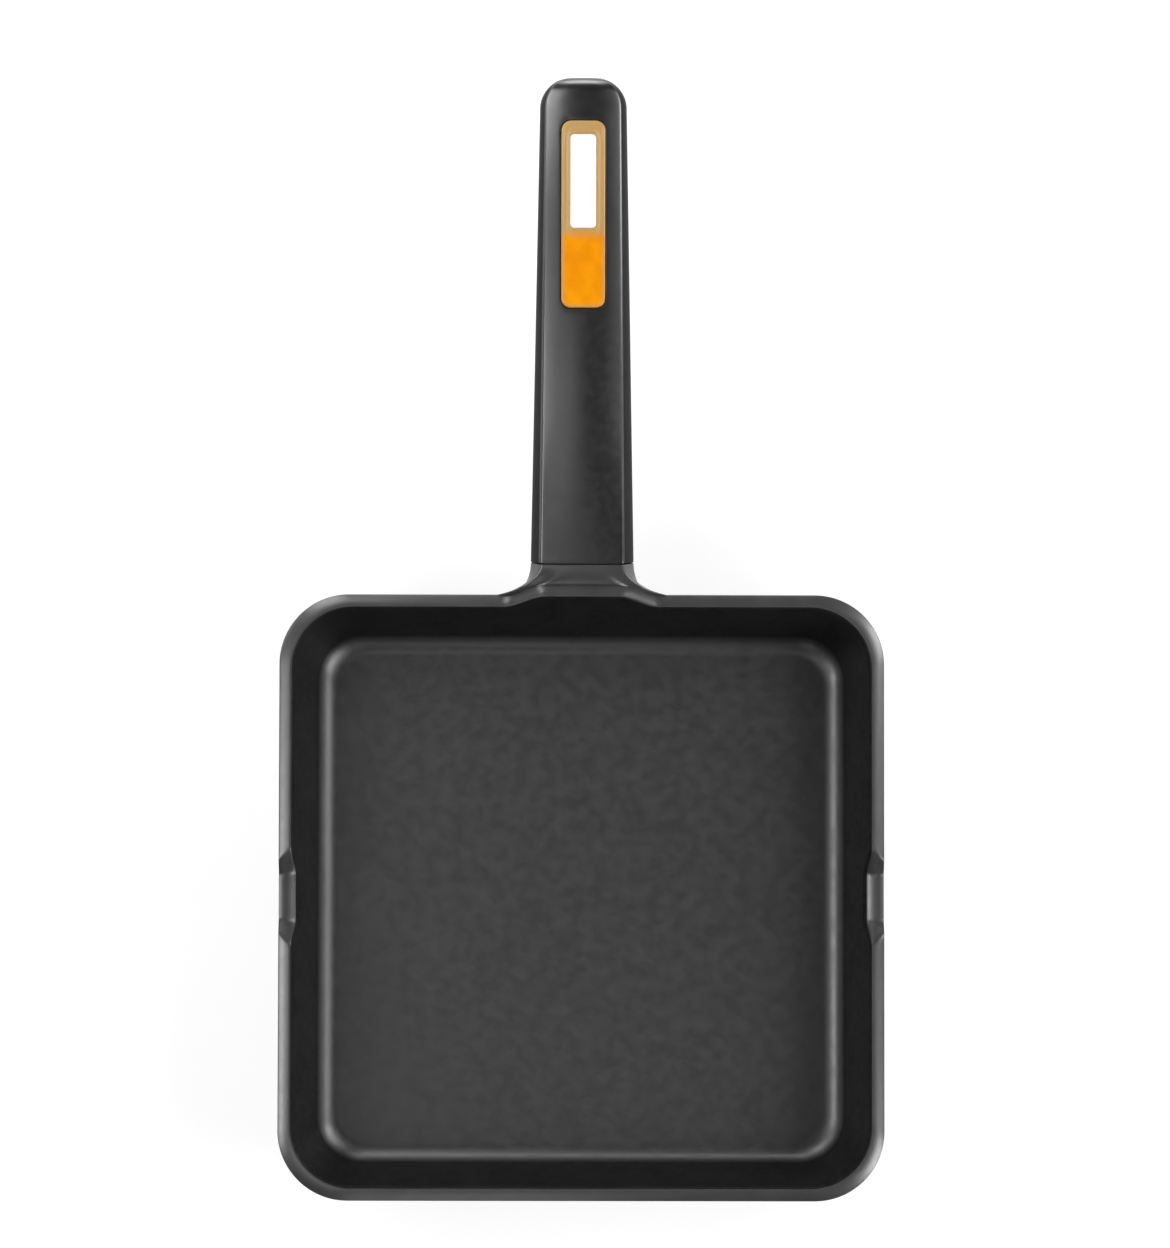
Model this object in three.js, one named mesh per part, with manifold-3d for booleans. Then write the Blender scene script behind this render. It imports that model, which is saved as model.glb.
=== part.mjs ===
// Square griddle pan: a cast aluminium body with two pour lips and a neck, a perforated steel plate in
// its base, and a moulded handle pulled on to the neck by one long screw, with a coloured hanging insert.
// Millimetres, +Z up. Origin: centre of the base, where the pan rests. +Y runs along the handle.

import * as THREE from "three";
import { mergeVertices } from "three/addons/utils/BufferGeometryUtils.js";
import Module from "manifold-3d";

const wasm = await Module();
wasm.setup();

const { degToRad, lerp, clamp, smoothstep } = THREE.MathUtils;

// Pan body
const PAN_WIDTH = 230;
const PAN_HEIGHT = 38;
const RIM_CORNER_RADIUS = 26.5;
const RIM_LAND = 5.4;
const RIM_OUTER_TILT = degToRad(28);
const RIM_INNER_TILT = degToRad(10);
const RIM_EDGE_ROUND = 1.6;
const RIM_BEAD_HEIGHT = 8;
const RIM_BEAD_SIDE = 3;
const WALL_THICKNESS = 4;
const WALL_DRAFT = degToRad(18);
const FLOOR_HEIGHT = 5.5;
const FLOOR_FILLET = 8;
const FLOOR_CORNER_RADIUS = 9.2;
const BASE_ROUND = 9;

// Pour lips, halfway along the left and right sides
const LIP_DIP = 3.6;
const LIP_FLAT_LENGTH = 16;
const LIP_OUTER_LENGTH = 29;
const LIP_INNER_LENGTH = 40;
const LIP_ROLL = 1.1;
const RIM_FADE = 16;

// Neck, cast with the body, and the crest where the rim climbs to meet it
const NECK_SPREAD = 64.5;
const NECK_FOOT_HEIGHT = 13;
const CREST_RISE = 7;
const CREST_LEAN = 0.5;
const CREST_FLAT_WIDTH = 28;
const CREST_WIDTH = 60;

// Handle: a straight run out of the neck that then levels off
const HANDLE_ROOT_Y = 127.5;
const HANDLE_ROOT_Z = 36.7;
const HANDLE_LENGTH = 183.5;
const HANDLE_STRAIGHT = 70;
const HANDLE_SLOPE = degToRad(10);
const HANDLE_END_SLOPE = degToRad(3);
const ROOT_WIDTH = 39.1;
const END_WIDTH = 32.4;
const ROOT_THICKNESS = 21;
const END_THICKNESS = 15.5;
const ROOT_SIDE_BAND = 2.7;
const END_SIDE_BAND = 2;
const ROOT_CROWN = 0.5;
const CROWN = 2.2;
const CROWN_RUN = 60;
const SIDE_DEPTH_SHARE = 0.28;
const SIDE_EDGE_STEEPNESS = 1.2;
const UNDERSIDE_SQUARENESS = 2.5;
const UNDERSIDE_FLAT_SHARE = 0.7;
const TIP_PLAN_RADIUS = 11.4;
const TIP_ROUND = 5;

// Hanging insert and its pocket in the handle
const INSERT_NEAR_Y = 222;
const INSERT_FAR_Y = 292.2;
const INSERT_WIDTH = 16.6;
const INSERT_CORNER_RADIUS = 3.6;
const INSERT_PROUD = 0.5;
const HOLE_NEAR_Y = 252;
const HOLE_FAR_Y = 287.4;
const HOLE_WIDTH = 9.7;
const HOLE_CORNER_RADIUS = 1.5;
const LINER_WALL = 3.6;
const PANEL_THICKNESS = 3.5;
const PANEL_SKIRT = 1.6;
const POCKET_FLOOR = 4;

// Fixing: tenon on the neck, threaded bush, washers and a long socket-head screw
const TENON_WIDTH = 22;
const TENON_HEIGHT = 11;
const TENON_CORNER_RADIUS = 2.5;
const TENON_LENGTH = 24;
const TENON_ROOT = 8;
const BUSH_RADIUS = 4.6;
const BUSH_LENGTH = 16;
const BUSH_GROOVE_DEPTH = 0.5;
const BUSH_GROOVE_LENGTH = 3;
const SCREW_RADIUS = 3;
const SCREW_LENGTH = 42;
const SCREW_HEAD_RADIUS = 5;
const SCREW_HEAD_HEIGHT = 6;
const SOCKET_ACROSS_FLATS = 5;
const SOCKET_DEPTH = 3.2;
const WASHER_RADIUS = 6;
const WASHER_THICKNESS = 1.6;
const SPRING_WASHER_RADIUS = 5.8;
const SPRING_WASHER_LIFT = 0.8;
const SPRING_WASHER_GAP = degToRad(14);
const SCREW_SEAT = 46;

// Base plate
const PLATE_WIDTH = 168;
const PLATE_CORNER_RADIUS = 16;
const PLATE_THICKNESS = 0.8;
const PLATE_HOLE_RADIUS = 2.5;
const PLATE_HOLE_PITCH = 17;
const PLATE_HOLES_PER_SIDE = 9;

// Clearance between pieces that fit together
const FIT = 0.3;

// Facets
const CORNER_STEPS = 6;
const ROUND_STEPS = 3;
const LIP_STEPS = 14;
const NECK_COLUMNS = 12;
const NECK_RINGS = 6;
const SIDE_STEPS = 3 * ROUND_STEPS + 1;
const LOWER_SIDE_STEPS = 6;
const HANDLE_STEPS = 13;
const TIP_STEPS = 6;
const TURN_STEPS = 24;
const BLOCK_HEIGHT = 90;

const RIM_HALF = PAN_WIDTH / 2;
const RIM_INNER_HALF = RIM_HALF - RIM_LAND;
const FLOOR_HALF = innerWall(FLOOR_HEIGHT + FLOOR_FILLET) - FLOOR_FILLET / Math.cos(WALL_DRAFT);
const AXIS = new THREE.Vector3(0, Math.cos(HANDLE_SLOPE), Math.sin(HANDLE_SLOPE));
const ROOT = new THREE.Vector3(0, HANDLE_ROOT_Y, HANDLE_ROOT_Z);

// A surface put together from closed rows of points, each row joined to the next by a band.
class Skin {
  points = [];
  triangles = [];

  row(points) {
    return points.map((point) => this.points.push(point) - 1);
  }

  band(lower, upper, skip = () => false) {
    lower.forEach((corner, i) => {
      const next = (i + 1) % lower.length;
      if (skip(i)) return;
      this.triangles.push(corner, lower[next], upper[next], corner, upper[next], upper[i]);
    });
  }

  close(row, backwards) {
    const box = new THREE.Box3().setFromPoints(row.map((i) => this.points[i]));
    const middle = this.points.push(box.getCenter(new THREE.Vector3())) - 1;
    row.forEach((corner, i) => {
      const next = row[(i + 1) % row.length];
      this.triangles.push(...(backwards ? [next, corner, middle] : [corner, next, middle]));
    });
  }

  geometry() {
    return new THREE.BufferGeometry().setFromPoints(this.points).setIndex(this.triangles);
  }
}

function loft(rows) {
  const skin = new Skin();
  const rings = rows.map((row) => skin.row(row));
  rings.slice(1).forEach((ring, i) => skin.band(rings[i], ring));
  skin.close(rings[0], true);
  skin.close(rings[rings.length - 1], false);
  return skin.geometry();
}

function toSolid(geometry) {
  const bare = geometry.clone();
  bare.deleteAttribute("normal");
  bare.deleteAttribute("uv");
  const merged = mergeVertices(bare);
  const corners = merged.index.array;
  const triangles = [];
  for (let t = 0; t < corners.length; t += 3) {
    const [a, b, c] = corners.slice(t, t + 3);
    if (a !== b && b !== c && c !== a) triangles.push(a, b, c);
  }
  const vertProperties = merged.attributes.position.array;
  return new wasm.Manifold(
    new wasm.Mesh({ numProp: 3, vertProperties, triVerts: Uint32Array.from(triangles) }),
  );
}

function toGeometry(solid) {
  const mesh = solid.getMesh();
  const geometry = new THREE.BufferGeometry();
  geometry.setAttribute("position", new THREE.BufferAttribute(mesh.vertProperties, mesh.numProp));
  geometry.setIndex(new THREE.BufferAttribute(mesh.triVerts, 1));
  return geometry;
}

function roundedRectangle(width, height, radius) {
  const x = width / 2 - radius;
  const y = height / 2 - radius;
  const shape = new THREE.Shape();
  shape.absarc(x, y, radius, 0, Math.PI / 2);
  shape.absarc(-x, y, radius, Math.PI / 2, Math.PI);
  shape.absarc(-x, -y, radius, Math.PI, 1.5 * Math.PI);
  shape.absarc(x, -y, radius, 1.5 * Math.PI, 2 * Math.PI);
  return shape;
}

function extrude(shape, depth, curveSegments) {
  return new THREE.ExtrudeGeometry(shape, { depth, curveSegments, bevelEnabled: false });
}

// Half-width of the inner wall at a height; the wall leans out by its draft.
function innerWall(z) {
  return RIM_INNER_HALF - (PAN_HEIGHT - z) * Math.tan(WALL_DRAFT);
}

function outerWall(z) {
  return innerWall(z) + WALL_THICKNESS;
}

// Corner radius of the square outline at a half-width: tight at the floor, wide at the rim.
function cornerRadius(half) {
  const share = clamp((half - FLOOR_HALF) / (RIM_HALF - FLOOR_HALF), 0, 1);
  return lerp(FLOOR_CORNER_RADIUS, RIM_CORNER_RADIUS, share);
}

// The body's section as levels from the base plate's pocket, up the outside, over the rim and down to the
// floor. "inside" runs from 0 on the outer face to 1 on the inner face.
function bodyLevels() {
  const levels = [];
  const add = (half, z, inside, radius = cornerRadius(half)) => levels.push({ half, z, inside, radius });
  const lean = Math.PI / 2 - WALL_DRAFT;

  add(PLATE_WIDTH / 2 + FIT, PLATE_THICKNESS, 0, PLATE_CORNER_RADIUS + FIT);
  add(PLATE_WIDTH / 2 + FIT, 0, 0, PLATE_CORNER_RADIUS + FIT);

  const baseHalf = outerWall(BASE_ROUND) - BASE_ROUND / Math.cos(WALL_DRAFT);
  for (let i = 0; i <= ROUND_STEPS; i += 1) {
    const turn = (i / ROUND_STEPS) * lean;
    add(baseHalf + BASE_ROUND * Math.sin(turn), BASE_ROUND * (1 - Math.cos(turn)), 0);
  }

  const neckFoot = levels.length;
  const beadFoot = PAN_HEIGHT - RIM_BEAD_HEIGHT;
  const beadTop = PAN_HEIGHT - RIM_BEAD_SIDE;
  for (let i = 0; i < ROUND_STEPS; i += 1) {
    const z = lerp(NECK_FOOT_HEIGHT, beadFoot, i / ROUND_STEPS);
    add(outerWall(z), z, 0);
  }
  for (let i = 0; i <= ROUND_STEPS; i += 1) {
    const z = lerp(beadFoot, beadTop, i / ROUND_STEPS);
    add(lerp(outerWall(z), RIM_HALF, smoothstep(z, beadFoot, beadTop)), z, 0);
  }

  const innerZ = PAN_HEIGHT - RIM_EDGE_ROUND;
  const innerHalf = innerWall(innerZ) + RIM_EDGE_ROUND / Math.cos(WALL_DRAFT);
  const outerHalf = RIM_HALF - RIM_EDGE_ROUND;
  const crown = (outerHalf - innerHalf) / (Math.sin(RIM_OUTER_TILT) - Math.sin(RIM_INNER_TILT));
  const crownHalf = innerHalf - crown * Math.sin(RIM_INNER_TILT);
  const crownZ = innerZ - crown * Math.cos(RIM_INNER_TILT);
  const outerZ = crownZ + crown * Math.cos(RIM_OUTER_TILT);
  const addRim = (half, z) => add(half, z, Math.min((RIM_HALF - half) / RIM_LAND, 1));
  for (let i = 0; i <= ROUND_STEPS; i += 1) {
    const turn = (i / ROUND_STEPS) * (Math.PI / 2 - RIM_OUTER_TILT);
    addRim(outerHalf + RIM_EDGE_ROUND * Math.cos(turn), outerZ + RIM_EDGE_ROUND * Math.sin(turn));
  }

  const crest = levels.length - 1;
  for (let i = 1; i < ROUND_STEPS; i += 1) {
    const tilt = lerp(RIM_OUTER_TILT, RIM_INNER_TILT, i / ROUND_STEPS);
    const radius = crown + RIM_EDGE_ROUND;
    addRim(crownHalf + radius * Math.sin(tilt), crownZ + radius * Math.cos(tilt));
  }
  for (let i = 0; i <= ROUND_STEPS; i += 1) {
    const turn = lerp(-RIM_INNER_TILT, lean, i / ROUND_STEPS);
    addRim(innerHalf - RIM_EDGE_ROUND * Math.sin(turn), innerZ + RIM_EDGE_ROUND * Math.cos(turn));
  }
  for (let i = 1; i <= ROUND_STEPS; i += 1) {
    const z = lerp(PAN_HEIGHT, PAN_HEIGHT - RIM_FADE, i / ROUND_STEPS);
    add(innerWall(z), z, 1);
  }

  const filletZ = FLOOR_HEIGHT + FLOOR_FILLET;
  for (let i = 0; i <= ROUND_STEPS + 1; i += 1) {
    const turn = (1 - i / (ROUND_STEPS + 1)) * lean;
    add(FLOOR_HALF + FLOOR_FILLET * Math.sin(turn), filletZ - FLOOR_FILLET * Math.cos(turn), 1);
  }
  return { levels, neckFoot, crest };
}

// How much a level takes part in the rim's dips and rise: all at the rim, fading out down the wall.
function rimShare(z) {
  return smoothstep(z, PAN_HEIGHT - RIM_FADE, PAN_HEIGHT);
}

// A point of the left (side -1) or right (side 1) wall, sunk into the pour lip near the middle.
function lipPoint({ half, z, inside }, side, y) {
  const end = lerp(LIP_OUTER_LENGTH, LIP_INNER_LENGTH, inside) / 2;
  const dip = LIP_DIP * rimShare(z) * (1 - smoothstep(Math.abs(y), LIP_FLAT_LENGTH / 2, end));
  const drop = dip * (1 + LIP_ROLL * inside ** 2);
  const shift = Math.tan(WALL_DRAFT) * drop * inside;
  return new THREE.Vector3(side * (half - shift), y, z - drop);
}

// A point of the wall on the handle side, lifted and leaned out where the rim meets the neck.
function crestPoint({ half, z }, x) {
  const share = 1 - smoothstep(Math.abs(x), CREST_FLAT_WIDTH / 2, CREST_WIDTH / 2);
  const rise = CREST_RISE * rimShare(z) * share;
  return new THREE.Vector3(x, half + rise * CREST_LEAN, z + rise);
}

function bodyRing(level) {
  const { half, z, radius } = level;
  const points = [];
  const corner = (sideX, sideY, start) => {
    for (let i = 0; i <= CORNER_STEPS; i += 1) {
      const turn = start + (i / CORNER_STEPS) * (Math.PI / 2);
      const x = sideX * (half - radius) + radius * Math.cos(turn);
      const y = sideY * (half - radius) + radius * Math.sin(turn);
      points.push(new THREE.Vector3(x, y, z));
    }
  };
  const lip = (side) => {
    for (let i = 0; i <= LIP_STEPS; i += 1) {
      points.push(lipPoint(level, side, side * LIP_INNER_LENGTH * (i / LIP_STEPS - 0.5)));
    }
  };
  lip(1);
  corner(1, 1, 0);
  for (let i = 0; i <= NECK_COLUMNS; i += 1) {
    points.push(crestPoint(level, NECK_SPREAD * (0.5 - i / NECK_COLUMNS)));
  }
  corner(-1, 1, Math.PI / 2);
  lip(-1);
  corner(-1, -1, Math.PI);
  corner(1, -1, 1.5 * Math.PI);
  return points;
}

// The handle's centre line: straight out of the neck, then an arc that levels off.
function spine(s) {
  const straight = Math.min(s, HANDLE_STRAIGHT);
  const turnRate = (HANDLE_SLOPE - HANDLE_END_SLOPE) / (HANDLE_LENGTH - HANDLE_STRAIGHT);
  const slope = HANDLE_SLOPE - turnRate * (s - straight);
  const y = ROOT.y + straight * AXIS.y + (Math.sin(HANDLE_SLOPE) - Math.sin(slope)) / turnRate;
  const z = ROOT.z + straight * AXIS.z + (Math.cos(slope) - Math.cos(HANDLE_SLOPE)) / turnRate;
  return { centre: new THREE.Vector3(0, y, z), up: new THREE.Vector3(0, -Math.sin(slope), Math.cos(slope)) };
}

// How far a quarter-round end of the given radius has drawn in at distance s along the handle.
function drawnIn(s, radius) {
  const into = clamp(s - (HANDLE_LENGTH - radius), 0, radius);
  return radius - Math.sqrt(radius * radius - into * into);
}

// The handle's section at s: a crowned top face, side bands below its crisp edges, a full rounded underside.
// The points go round anticlockwise seen from the handle's end, starting along the underside.
function handleSection(s) {
  const along = s / HANDLE_LENGTH;
  const full = lerp(ROOT_WIDTH, END_WIDTH, along) / 2;
  const half = full - drawnIn(s, TIP_PLAN_RADIUS);
  const edge = half - (lerp(ROOT_SIDE_BAND, END_SIDE_BAND, along) * half) / full;
  const crown = (lerp(ROOT_CROWN, CROWN, smoothstep(s, 0, CROWN_RUN)) * half) / full;
  const thickness = lerp(ROOT_THICKNESS, END_THICKNESS, along) - 2 * drawnIn(s, TIP_ROUND);
  const edgeUp = thickness / 2 - crown;
  const widestUp = edgeUp - SIDE_DEPTH_SHARE * thickness;
  const under = (across) => {
    const share = 1 - (Math.abs(across) / half) ** UNDERSIDE_SQUARENESS;
    return widestUp - (widestUp + thickness / 2) * share ** (1 / UNDERSIDE_SQUARENESS);
  };

  const corner = UNDERSIDE_FLAT_SHARE * half;
  const band = new THREE.QuadraticBezierCurve(
    new THREE.Vector2(half, widestUp),
    new THREE.Vector2(half, edgeUp - SIDE_EDGE_STEEPNESS * (half - edge)),
    new THREE.Vector2(edge, edgeUp),
  );
  const side = [];
  for (let i = 0; i < LOWER_SIDE_STEPS; i += 1) {
    const turn = (i / LOWER_SIDE_STEPS) * (Math.PI / 2);
    const across = lerp(corner, half, Math.sin(turn));
    side.push(new THREE.Vector2(across, under(across)));
  }
  side.push(...band.getPoints(SIDE_STEPS - LOWER_SIDE_STEPS));

  const outline = [];
  for (let i = 0; i < NECK_COLUMNS; i += 1) {
    const across = corner * (1 - (2 * i) / NECK_COLUMNS);
    outline.push(new THREE.Vector2(across, under(across)));
  }
  side.slice(0, -1).forEach((p) => outline.push(new THREE.Vector2(-p.x, p.y)));
  for (let i = 0; i < NECK_COLUMNS; i += 1) {
    const share = (2 * i) / NECK_COLUMNS - 1;
    outline.push(new THREE.Vector2(edge * share, edgeUp + crown * (1 - share * share)));
  }
  side.slice(1).reverse().forEach((p) => outline.push(p));

  const { centre, up } = spine(s);
  return outline.map((p) => new THREE.Vector3(p.x, 0, 0).addScaledVector(up, p.y).add(centre));
}

// The neck flows out of an opening in the body's wall and ends in the handle's section. Each line from the
// opening's edge to that section is a quarter ellipse, which starts along the wall and ends along the handle.
function addNeck(skin, rings, foot, crest, first, last) {
  const edge = [];
  for (let i = first; i < last; i += 1) edge.push(rings[foot][i]);
  for (let j = foot; j < crest; j += 1) edge.push(rings[j][last]);
  for (let i = last; i > first; i -= 1) edge.push(rings[crest][i]);
  for (let j = crest; j > foot; j -= 1) edge.push(rings[j][first]);

  const wallNormal = new THREE.Vector3(0, Math.cos(WALL_DRAFT), -Math.sin(WALL_DRAFT));
  const section = handleSection(0);
  const lines = section.map((end, i) => {
    const start = skin.points[edge[i]];
    const reach = wallNormal.dot(end.clone().sub(start)) / wallNormal.dot(AXIS);
    return { start, end, bend: end.clone().addScaledVector(AXIS, -reach) };
  });

  let previous = edge;
  for (let k = 1; k <= NECK_RINGS; k += 1) {
    const turn = (k / NECK_RINGS) * (Math.PI / 2);
    const ring = skin.row(
      lines.map(({ start, end, bend }) =>
        bend
          .clone()
          .addScaledVector(start.clone().sub(bend), 1 - Math.sin(turn))
          .addScaledVector(end.clone().sub(bend), 1 - Math.cos(turn)),
      ),
    );
    skin.band(previous, ring);
    previous = ring;
  }
  skin.close(previous, false);
}

// Moves a shape made along +Y into the line of the screw, which runs out of the neck.
function onScrewLine(geometry) {
  return geometry.rotateX(HANDLE_SLOPE).translate(ROOT.x, ROOT.y, ROOT.z);
}

function rodOnScrewLine(radius, from, to) {
  const rod = new THREE.CylinderGeometry(radius, radius, to - from, TURN_STEPS);
  return toSolid(onScrewLine(rod.translate(0, (from + to) / 2, 0)));
}

function tenonBlock(clearance, from, to) {
  const width = TENON_WIDTH + 2 * clearance;
  const height = TENON_HEIGHT + 2 * clearance;
  const shape = roundedRectangle(width, height, TENON_CORNER_RADIUS + clearance);
  return toSolid(onScrewLine(extrude(shape, to - from, 2).rotateX(-Math.PI / 2).translate(0, from, 0)));
}

function panBody() {
  const { levels, neckFoot, crest } = bodyLevels();
  const skin = new Skin();
  const rings = levels.map((level) => skin.row(bodyRing(level)));
  const first = LIP_STEPS + CORNER_STEPS + 2;
  const last = first + NECK_COLUMNS;
  rings.slice(1).forEach((ring, j) => {
    const opening = (i) => j >= neckFoot && j < crest && i >= first && i < last;
    skin.band(rings[j], ring, opening);
  });
  skin.close(rings[0], true);
  skin.close(rings[rings.length - 1], false);
  addNeck(skin, rings, neckFoot, crest, first, last);

  const bushSeat = TENON_LENGTH - BUSH_LENGTH - FIT;
  return toSolid(skin.geometry())
    .add(tenonBlock(0, -TENON_ROOT, TENON_LENGTH))
    .subtract(rodOnScrewLine(BUSH_RADIUS + FIT, bushSeat, TENON_LENGTH + 1));
}

function basePlate() {
  const shape = roundedRectangle(PLATE_WIDTH, PLATE_WIDTH, PLATE_CORNER_RADIUS);
  const middle = (PLATE_HOLES_PER_SIDE - 1) / 2;
  for (let i = 0; i < PLATE_HOLES_PER_SIDE; i += 1) {
    for (let j = 0; j < PLATE_HOLES_PER_SIDE; j += 1) {
      if (i === middle && j === middle) continue;
      const hole = new THREE.Path();
      const x = (i - middle) * PLATE_HOLE_PITCH;
      const y = (j - middle) * PLATE_HOLE_PITCH;
      hole.absarc(x, y, PLATE_HOLE_RADIUS, 0, 2 * Math.PI, true);
      shape.holes.push(hole);
    }
  }
  return extrude(shape, PLATE_THICKNESS, 5);
}

// The grip's outer form from the seam at the neck to the tip, moved up or down by "raised".
function gripForm(raised) {
  const stations = [];
  const tipStart = HANDLE_LENGTH - TIP_PLAN_RADIUS;
  for (let i = 0; i < HANDLE_STEPS; i += 1) stations.push(lerp(FIT, tipStart, i / HANDLE_STEPS));
  for (let i = 0; i <= TIP_STEPS; i += 1) {
    stations.push(tipStart + TIP_PLAN_RADIUS * Math.sin((i / TIP_STEPS) * (Math.PI / 2)));
  }
  const form = loft(stations.map(handleSection));
  return toSolid(form.translate(0, 0, raised));
}

// An upright block with a rounded outline between two places along the handle.
function uprightBlock(width, nearY, farY, radius) {
  const block = extrude(roundedRectangle(width, farY - nearY, radius), BLOCK_HEIGHT, 4);
  return toSolid(block.translate(0, (nearY + farY) / 2, 0));
}

function insertOutline(clearance) {
  const radius = INSERT_CORNER_RADIUS + clearance;
  const width = INSERT_WIDTH + 2 * clearance;
  return uprightBlock(width, INSERT_NEAR_Y - clearance, INSERT_FAR_Y + clearance, radius);
}

// What lies under a given height above the grip's underside, in the stretch below the insert's panel.
function underPanel(height, farY) {
  const stretch = uprightBlock(INSERT_WIDTH * 2, INSERT_NEAR_Y - INSERT_WIDTH, farY, FIT);
  return stretch.subtract(gripForm(height));
}

function handleGrip() {
  const linerY = HOLE_NEAR_Y - LINER_WALL;
  const pocket = insertOutline(FIT).subtract(underPanel(POCKET_FLOOR, linerY - FIT));
  const mouth = (INSERT_NEAR_Y + WASHER_RADIUS / 2 - ROOT.y) / AXIS.y;
  return gripForm(0)
    .subtract(pocket)
    .subtract(tenonBlock(FIT, -1, TENON_LENGTH + FIT))
    .subtract(rodOnScrewLine(SCREW_RADIUS + FIT, TENON_LENGTH, SCREW_SEAT + 1))
    .subtract(rodOnScrewLine(WASHER_RADIUS + FIT, SCREW_SEAT, mouth));
}

function hangInsert() {
  const linerY = HOLE_NEAR_Y - LINER_WALL;
  const hollowWidth = INSERT_WIDTH - 2 * PANEL_SKIRT;
  const hollowRadius = INSERT_CORNER_RADIUS - PANEL_SKIRT;
  const hollow = uprightBlock(hollowWidth, INSERT_NEAR_Y + PANEL_SKIRT, linerY, hollowRadius);
  return insertOutline(0)
    .intersect(gripForm(INSERT_PROUD))
    .subtract(underPanel(POCKET_FLOOR + FIT, linerY))
    .subtract(hollow.intersect(gripForm(INSERT_PROUD - PANEL_THICKNESS)))
    .subtract(uprightBlock(HOLE_WIDTH, HOLE_NEAR_Y, HOLE_FAR_Y, HOLE_CORNER_RADIUS));
}

// A closed ring turned round the screw line, from its section's corners.
function turned(corners) {
  const section = corners.map(([radius, y]) => new THREE.Vector2(radius, y));
  return new THREE.LatheGeometry(section, TURN_STEPS);
}

function threadedBush() {
  const bore = SCREW_RADIUS + FIT;
  const grooved = BUSH_RADIUS - BUSH_GROOVE_DEPTH;
  const grooveStart = (BUSH_LENGTH - BUSH_GROOVE_LENGTH) / 2;
  const grooveEnd = grooveStart + BUSH_GROOVE_LENGTH;
  return turned([
    [bore, 0],
    [BUSH_RADIUS, 0],
    [BUSH_RADIUS, grooveStart],
    [grooved, grooveStart + BUSH_GROOVE_DEPTH],
    [grooved, grooveEnd - BUSH_GROOVE_DEPTH],
    [BUSH_RADIUS, grooveEnd],
    [BUSH_RADIUS, BUSH_LENGTH],
    [bore, BUSH_LENGTH],
    [bore, 0],
  ]);
}

function flatWasher() {
  const bore = SCREW_RADIUS + FIT;
  return turned([
    [bore, 0],
    [WASHER_RADIUS, 0],
    [WASHER_RADIUS, WASHER_THICKNESS],
    [bore, WASHER_THICKNESS],
    [bore, 0],
  ]);
}

// A square-section ring, split and sprung open along the screw line.
function springWasher() {
  const bore = SCREW_RADIUS + FIT;
  const rows = [];
  for (let i = 0; i <= TURN_STEPS; i += 1) {
    const share = i / TURN_STEPS;
    const turn = share * (2 * Math.PI - SPRING_WASHER_GAP);
    const y = share * SPRING_WASHER_LIFT;
    const corner = (radius, up) =>
      new THREE.Vector3(radius * Math.cos(turn), y + up, radius * Math.sin(turn));
    rows.push([
      corner(bore, 0),
      corner(SPRING_WASHER_RADIUS, 0),
      corner(SPRING_WASHER_RADIUS, WASHER_THICKNESS),
      corner(bore, WASHER_THICKNESS),
    ]);
  }
  return loft(rows);
}

function handleScrew() {
  const form = turned([
    [0, -SCREW_LENGTH],
    [SCREW_RADIUS, -SCREW_LENGTH],
    [SCREW_RADIUS, 0],
    [SCREW_HEAD_RADIUS, 0],
    [SCREW_HEAD_RADIUS, SCREW_HEAD_HEIGHT],
    [0, SCREW_HEAD_HEIGHT],
  ]);
  const socketRadius = SOCKET_ACROSS_FLATS / 2 / Math.cos(Math.PI / 6);
  const socket = new THREE.CylinderGeometry(socketRadius, socketRadius, 2 * SOCKET_DEPTH, 6);
  return toGeometry(toSolid(form).subtract(toSolid(socket.translate(0, SCREW_HEAD_HEIGHT, 0))));
}

function piece(name, geometry, color, roughness, metalness) {
  const mesh = new THREE.Mesh(geometry, new THREE.MeshStandardMaterial({ color, roughness, metalness }));
  mesh.name = name;
  return mesh;
}

const pan = new THREE.Group();
pan.add(piece("pan_body", toGeometry(panBody()), 0x2e2e2f, 0.5, 0.2));
pan.add(piece("base_plate", basePlate(), 0xa9aaab, 0.35, 1));
pan.add(piece("handle_grip", toGeometry(handleGrip()), 0x1e1e1f, 0.45, 0));
pan.add(piece("hang_insert", toGeometry(hangInsert()), 0xf0940a, 0.5, 0));

// The fixing lies along the screw line, so its pieces share one turned group.
const fixing = new THREE.Group();
fixing.position.copy(ROOT);
fixing.rotation.x = HANDLE_SLOPE;

const bush = piece("threaded_bush", threadedBush(), 0x8f9092, 0.4, 1);
bush.position.y = TENON_LENGTH - BUSH_LENGTH;
const washer = piece("flat_washer", flatWasher(), 0x9a9b9d, 0.35, 1);
washer.position.y = SCREW_SEAT + FIT;
const spring = piece("spring_washer", springWasher(), 0x6f7073, 0.4, 1);
spring.position.y = washer.position.y + WASHER_THICKNESS + FIT;
const screw = piece("handle_screw", handleScrew(), 0x8f9092, 0.35, 1);
screw.position.y = spring.position.y + WASHER_THICKNESS + SPRING_WASHER_LIFT + FIT;
fixing.add(bush, washer, spring, screw);
pan.add(fixing);

export default pan;
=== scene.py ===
"""Square griddle pan: the fine surfaces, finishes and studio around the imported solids.

Metres, +Z up. The origin is the centre of the base, and +Y runs along the handle.
"""

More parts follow.
